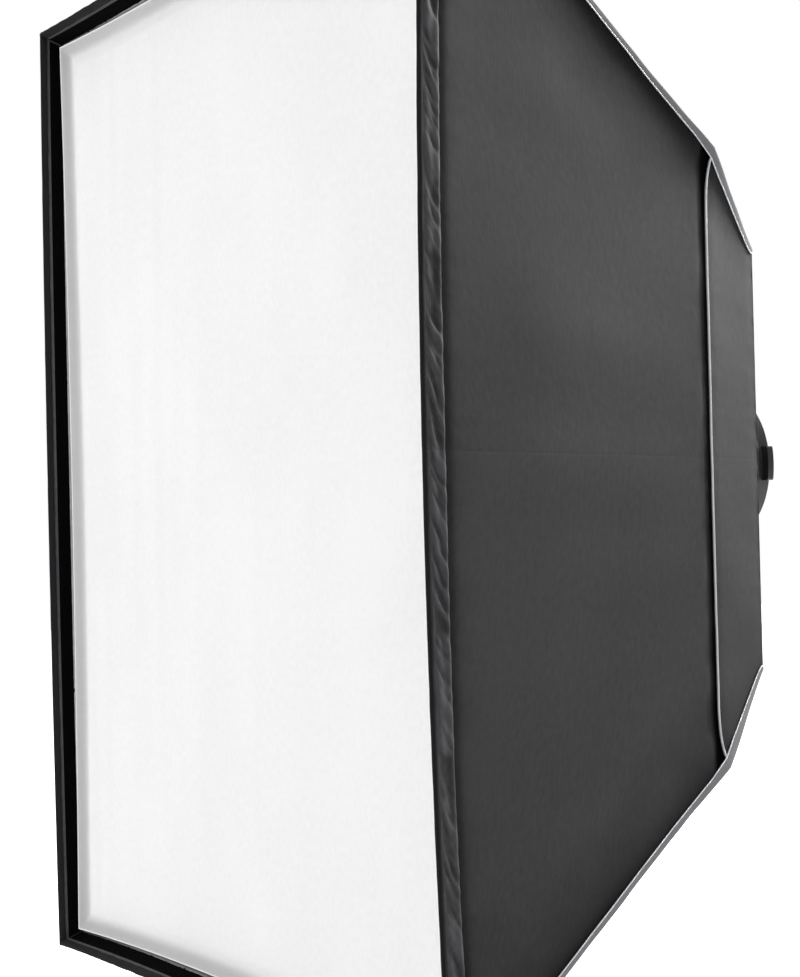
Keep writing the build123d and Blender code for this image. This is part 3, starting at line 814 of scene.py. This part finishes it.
def makeCornerTape(corner, seed):
    across = np.array([-1, -0.93, -0.7, -0.45, -0.28, -0.14, 0, 0.14, 0.28, 0.45, 0.7, 0.93, 1])
    stations = tapeStations()[::-1]
    y = np.repeat(stations[:, None], len(across), 1)
    a = across[None, :] * tapeWidth(stations)[:, None]
    acrossWave, alongWave = tape["waveLength"]
    wave = ripple(a / (acrossWave * mm), y / (alongWave * mm), seed) * tape["wave"] * mm
    points = tapePoint(a, y, tape["lift"] * mm + wave)
    uv = np.stack([a, y], -1)
    piece = gridPiece(f"grey_corner_tape_{corner}", turned(points, corner), uv, [finish["grey_tape"]])
    thicken(piece, tape["thickness"] * mm)
    followRod(piece, corner)
    for side, end in (("first", -1), ("second", 1)):
        edge = end * tapeWidth(stations)
        wander = ripple(np.full_like(stations, end), stations / (alongWave * mm), seed) * tape["wave"] * mm
        path = turned(tapePoint(edge, stations, tape["lift"] * mm + wander), corner)
        tube(f"silver_edge_{corner}_{side}", path, tape["edge"] * mm, corner, "silver_piping")


def tube(name, path, radius, corner, slotName, openEnd=False):
    # a round cord along a path, drawn in at its ends, or only at its first end where the next one follows on
    ahead = np.gradient(path, axis=0)
    ahead /= np.linalg.norm(ahead, axis=1)[:, None]
    outward = path * np.array([1, 0, 1])
    outward /= np.linalg.norm(outward, axis=1)[:, None]
    sideways = np.cross(ahead, outward)
    sideways /= np.linalg.norm(sideways, axis=1)[:, None]
    upward = np.cross(sideways, ahead)
    turns = np.linspace(0, 2 * pi, cord["turns"] + 1)
    size = np.full(len(path), radius)
    ends = [0] if openEnd else [0, -1]
    size[ends] = radius * 0.05
    size[[1] if openEnd else [1, -2]] = radius * 0.8
    ring = [path + (sideways * cos(t) + upward * sin(t)) * size[:, None] for t in turns]
    run = np.concatenate([[0], np.cumsum(np.linalg.norm(np.diff(path, axis=0), axis=1))])
    uv = np.array([np.stack([run, np.full_like(run, t * radius)], -1) for t in turns])
    piece = gridPiece(name, np.array(ring), uv, [finish[slotName]])
    welder = piece.modifiers.new("join", "WELD")
    welder.merge_threshold = 0.01 * mm
    followRod(piece, corner)


def makePiping(corner):
    # one length on each side, from the corner tape to the side's middle, where its end butts the next one
    for side, sign in (("first", -1), ("second", 1)):
        share = sign * np.linspace(cord["endGap"] * mm / seamHalf, 1, 120)
        along, seed = sideSpot(share, 0 * share + seamY, corner)
        y = seamY + ripple(along * cord["waves"], 0 * along, seed) * cord["wander"] * mm
        path = turned(shellPoint(share, y, cord["stand"] * mm + 0 * y), corner)
        tube(f"seam_piping_{corner}_{side}", path, cord["radius"] * mm, corner, "silver_piping", openEnd=True)


# Back collar: flat cloth with a round hole, clamped at the ring

# its hole as a share of the ring's radius, and mm that it lies above the clamp and sags
collar = {"ringSteps": 24, "rows": 7, "thickness": 0.9, "hole": 0.9, "above": 1.2, "sag": 0.8}


def makeCollar():
    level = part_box("back_collar")[0].y + collar["above"] * mm
    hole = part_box("speed_ring")[1].x * collar["hole"]
    angles = np.linspace(0, 2 * pi, 8 * collar["ringSteps"] + 1)
    reach = 1 / np.maximum(np.abs(np.cos(angles)), np.abs(np.sin(angles)))
    rows = []
    for t in np.linspace(0, 1, collar["rows"]):
        radius = hole * (1 - t) + collarHalf * reach * t
        sag = ripple(np.cos(angles) * 3, np.sin(angles) * 3, 2.2) * collar["sag"] * mm * sin(pi * t)
        y = np.full_like(angles, level) + sag
        rows.append(np.stack([radius * np.cos(angles), y, radius * np.sin(angles)], -1))
    points = np.array(rows)
    materials = [finish["black_cloth"], finish["silver_lining"]]
    piece = gridPiece("back_collar_cloth", points, points[..., [0, 2]], materials)
    thicken(piece, collar["thickness"] * mm, inner=1)
    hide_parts("back_collar")
    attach(piece, "root")


# Diffusers: the front sheet with its turned edge, the inner sheet and its elastic straps

sheets = {
    "cells": 84,
    "turnedEdge": 13.0,  # mm of the front sheet that turns forward to meet the hook tape
    "edgeShade": 0.62,  # how grey the turned edge looks where the lip shades it
    "shadeEnd": 6.0,  # mm from the lip where that begins to fade
    "shadeFade": 18.0,  # mm over which that fades out
    "turnRise": 9.0,  # mm that the turned edge comes forward
    "sink": 2.5,  # mm that the sheet sinks behind the turned edge
    "sinkPlace": (17, 9),  # mm from the edge to the lowest line, and how wide it is
    "crease": 1.6,  # mm height of the faint upright creases
    "creaseWidth": 46.0,
    "creaseLength": 420.0,
    "pucker": 0.8,  # mm height of the small puckers at the edge
    "puckerLength": 30.0,
    "puckerReach": 35.0,
    "calm": 30.0,  # mm from the edge where creases start
    "drawnIn": 60.0,  # mm from the edge over which the sheet follows the bowed lip
    "edgeGap": 0.4,  # mm between the sheet and the lip
    "heldFrom": (45, 13),  # mm from the edge where it starts to follow the lip, and where it fully does
    "thickness": 0.5,
}
inner = {
    "cells": 48,
    "scallop": 14.0,  # mm that the middle of a side hangs in between its straps
    "scallopReach": 160.0,
    "sag": 2.0,
    "sagLength": 120.0,
    "calm": 40.0,
}
straps = {
    "width": 20.0,
    "place": 200.0,  # mm from the middle of a side
    "steps": 12,
    "thickness": 1.0,
    "short": 4.5,  # mm that it stops short of the side cloth's middle surface
    "overlap": 14.0,  # mm sewn on the inner sheet
    "narrowing": 0.18,  # share of the width lost where it is stretched
    "above": 0.6,  # mm behind the sheet
    "bow": 1.5,  # mm further back at the middle of its length
}


def makeFrontDiffuser(corner):
    t = np.linspace(0, 1, sheets["cells"])
    t = 1 - (1 - t) ** 1.5
    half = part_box("front_diffuser")[1].x
    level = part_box("front_diffuser")[1].y
    p, q = np.meshgrid(t * half, t * half)
    a = radians(cornerTurn[corner])
    worldX = p * cos(a) - q * sin(a)
    worldZ = p * sin(a) + q * cos(a)
    fromEdge = half - np.maximum(p, q)
    upright = ripple(worldX / (sheets["creaseWidth"] * mm), worldZ / (sheets["creaseLength"] * mm), 4.4)
    size = sheets["puckerLength"] * mm
    pucker = ripple(worldX / size, worldZ / size, 6.1) * np.exp(-fromEdge / (sheets["puckerReach"] * mm))
    turn = smooth(1 - fromEdge / (sheets["turnedEdge"] * mm)) * sheets["turnRise"] * mm
    place, width = sheets["sinkPlace"]
    sink = sheets["sink"] * mm * np.exp(-(((fromEdge - place * mm) / (width * mm)) ** 2))
    creases = (upright * sheets["crease"] + pucker * sheets["pucker"]) * mm
    y = level - turn + sink + creases * smooth(fromEdge / (sheets["calm"] * mm))
    pulled = (shell["midPull"][0] + sheets["edgeGap"]) * mm
    inward = pulled * smooth(1.15 - fromEdge / (sheets["drawnIn"] * mm))
    outP = p - np.where(p >= q, inward * (1 - (q / half) ** 2), 0)
    outQ = q - np.where(q > p, inward * (1 - (p / half) ** 2), 0)
    points = np.stack([outP, outQ, y], -1)
    uv = np.stack([worldX, worldZ], -1)
    # painted shade on the turned edge, where the lip shades it
    border = fromEdge / mm
    shade = sheets["edgeShade"] * smooth((border - 0.5) / 1.5)
    shade *= 1 - smooth((border - sheets["shadeEnd"]) / sheets["shadeFade"])
    materials = [finish["white_diffuser"]]
    piece = gridPiece(f"front_diffuser_{corner}", turned(points, corner), uv, materials, shade=shade)
    thicken(piece, sheets["thickness"] * mm, offset=0.0)
    free, held = sheets["heldFrom"]
    followRod(piece, corner, (shell["frontPower"], half - free * mm, half - held * mm))


def makeInnerDiffuser(corner):
    t = np.linspace(0, 1, inner["cells"])
    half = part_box("inner_diffuser")[1].x
    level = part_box("inner_diffuser")[1].y
    p, q = np.meshgrid(t * half, t * half)
    fromEdge = half - np.maximum(p, q)
    scallop = inner["scallop"] * mm * (1 - (np.minimum(p, q) / half) ** 2)
    scallop = scallop * smooth(1 - fromEdge / (inner["scallopReach"] * mm))
    world = turned(np.stack([p, q, 0 * p], -1), corner) / (inner["sagLength"] * mm)
    sag = ripple(world[..., 0], world[..., 2], 3.3) * inner["sag"] * mm
    sag = sag * smooth(fromEdge / (inner["calm"] * mm))
    outP = p - np.where(p >= q, scallop, 0)
    outQ = q - np.where(q > p, scallop, 0)
    points = np.stack([outP, outQ, level + sag], -1)
    piece = gridPiece(
        f"inner_diffuser_{corner}", turned(points, corner), np.stack([p, q], -1), [finish["white_diffuser"]]
    )
    thicken(piece, sheets["thickness"] * mm, offset=0.0)
    followRod(piece, corner, (shell["innerPower"], half, float(halfAt(level))))


def makeStraps(corner):
    # two elastic straps, one to each side next to this corner
    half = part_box("inner_diffuser")[1].x
    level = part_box("inner_diffuser")[1].y
    start = half - straps["overlap"] * mm
    end = halfAt(level) - (np.interp(level, stationY, shell["midPull"]) + straps["short"]) * mm
    for side, first in (("first", True), ("second", False)):
        reach = np.linspace(start, end, straps["steps"])
        across = np.linspace(-0.5, 0.5, 5) * straps["width"] * mm + straps["place"] * mm
        r, c = np.meshgrid(reach, across)
        t = (r - start) / (end - start)
        neck = 1 - straps["narrowing"] * np.sin(np.pi * t)
        c = straps["place"] * mm + (c - straps["place"] * mm) * neck
        y = level + straps["above"] * mm + straps["bow"] * mm * np.sin(np.pi * t)
        points = np.stack([r, c, y] if first else [c, r, y], -1)
        uv = np.stack([c, r], -1)
        piece = gridPiece(f"diffuser_strap_{corner}_{side}", turned(points, corner), uv, [finish["webbing"]])
        thicken(piece, straps["thickness"] * mm, offset=0.0)
        followRod(piece, corner, (shell["innerPower"], half, float(halfAt(level))))


# Corner pockets: sewn sleeves that the rods' capped ends stand in

pocket = {
    "frontAngle": 39.68,  # degrees that the rod leans outward at its front end
    "round": 28,
    "rows": 16,
    "length": 56.0,
    "radius": 7.4,
    "wall": 1.6,
    "wrinkle": 0.25,  # mm
    "flare": 0.5,  # mm that its mouth opens
}


def makePocket(corner):
    lo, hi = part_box(f"corner_pocket_{corner}")
    centre = (lo + hi) / 2
    diagonal = Vector((centre.x, 0, centre.z)).normalized()
    lean = radians(pocket["frontAngle"])
    ahead = diagonal * sin(lean) - Vector((0, cos(lean), 0))
    sideways = Vector((0, 1, 0)).cross(diagonal).normalized()
    upward = sideways.cross(ahead)
    turns = np.linspace(0, 2 * pi, pocket["round"] + 1)
    rows = []
    maps = []
    profile = [(t, 0.0) for t in np.linspace(-0.5, 0.5, pocket["rows"])]
    inside = [(t, pocket["wall"]) for t in np.linspace(0.38, -0.5, 8)]
    for t, inset in profile + inside:
        pinch = smooth(np.array((t - 0.2) / 0.3)) * (inset == 0)
        flare = pocket["flare"] * smooth(np.array((-0.38 - t) / 0.12))
        wrinkle = pocket["wrinkle"] * np.sin(turns * 7 + t * 21)
        radius = (pocket["radius"] - inset + flare + wrinkle * (inset == 0)) * mm
        wide = radius * (1 - 0.1 * pinch)
        thin = radius * (1 - 0.82 * pinch)
        middle = centre + ahead * (t * pocket["length"] * mm)
        spot = [
            middle + sideways * (float(w) * cos(a)) + upward * (float(h) * sin(a))
            for a, w, h in zip(turns, wide, thin)
        ]
        rows.append([tuple(v) for v in spot])
        maps.append([(a * pocket["radius"] * mm, t * pocket["length"] * mm) for a in turns])
    piece = gridPiece(f"sewn_pocket_{corner}", np.array(rows), np.array(maps), [finish["webbing"]])
    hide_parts(f"corner_pocket_{corner}")
    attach(piece, f"rod_{corner}")


for number, name in enumerate(cornerTurn):
    makeHem(name)
    makeBinding(name)
    makeHookTape(name)
    makePanel("side_cloth", name, lipY - panel["under"] * mm, seamY, panel["side"])
    makePanel("rear_cloth", name, seamY, rearY, panel["rear"])
    makePanel("back_cloth", name, rearY, collarY, panel["back"])
    makeCornerTape(name, number + 0.5)
    makePiping(name)
    makeFrontDiffuser(name)
    makeInnerDiffuser(name)
    makeStraps(name)
    makePocket(name)
makeCollar()
print("stage: soft goods made")

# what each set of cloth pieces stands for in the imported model
replaced = {
    "front_hem": [f"front_lip_{s}" for s in ("right", "top", "left", "bottom")],
    "side_cloth": [f"side_panel_{s}" for s in ("right", "top", "left", "bottom")],
    "rear_cloth": [f"rear_panel_{s}" for s in ("right", "top", "left", "bottom")],
    "back_cloth": [f"back_panel_{s}" for s in ("right", "top", "left", "bottom")],
    "grey_corner_tape": [f"corner_tape_{c}" for c in cornerTurn],
    "hook_tape": ["grid_tape"],
    "seam_piping": ["seam_piping"],
    "front_diffuser": ["front_diffuser"],
    "inner_diffuser": ["inner_diffuser"],
    "diffuser_strap": ["diffuser_straps"],
}
for stem, nodes in replaced.items():
    for number, node in enumerate(nodes):
        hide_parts(node)

for node, piece in frame["nodes"].items():
    slotName = next(s["material_slot"] for s in frame["record"]["subparts"] if s["node"] == node)
    for index in range(len(piece.material_slots)):
        piece.material_slots[index].material = finish[slotName]
print("stage: finishes on the packed nodes")
